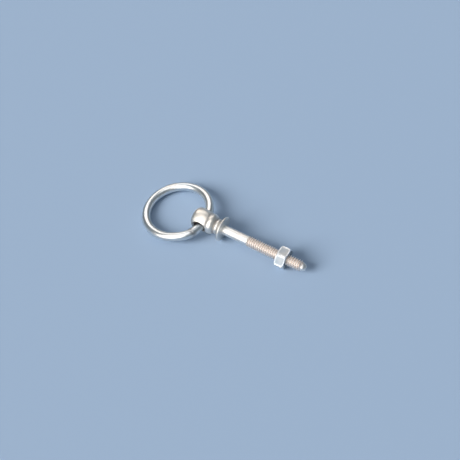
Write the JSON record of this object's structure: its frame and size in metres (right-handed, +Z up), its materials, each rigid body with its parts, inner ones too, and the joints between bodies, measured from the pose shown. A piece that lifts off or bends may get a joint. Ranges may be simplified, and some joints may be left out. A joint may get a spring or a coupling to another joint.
{
  "type": "eye bolt",
  "caption": "Bolt with a cross-drilled ball eye, collar and threaded shank, a welded ring hinged through the eye, and a hex nut on the thread.",
  "frame": {"origin": "centre of the collar's seating face, on the bolt's axis", "axes": "+X along the bolt to its threaded tip; the eye's hole runs along Y; +Z up as the bolt lies, with a flat of the nut nearly facing down"},
  "size_m": [0.1023, 0.042, 0.0161],
  "materials": {
    "bolt_steel": "bright zinc plate over turned and rolled steel",
    "ring_steel": "bright zinc plate over drawn wire",
    "nut_steel": "bluish zinc plate"
  },
  "bodies": {
    "bolt": {"eye_bolt": "bolt_steel"},
    "ring": {"ring": "ring_steel"},
    "nut": {"hex_nut": "nut_steel"}
  },
  "joints": [
    {"name": "ring_swing", "type": "hinge", "parent": "bolt", "child": "ring", "pos_m": [-0.0131, 0, 0], "axis": [0, 1, 0], "range_deg": [-156, 175]},
    {"name": "nut_travel", "type": "slide", "parent": "bolt", "child": "nut", "axis": [1, 0, 0], "range_m": [-0.0174, 0.0172]}
  ]
}
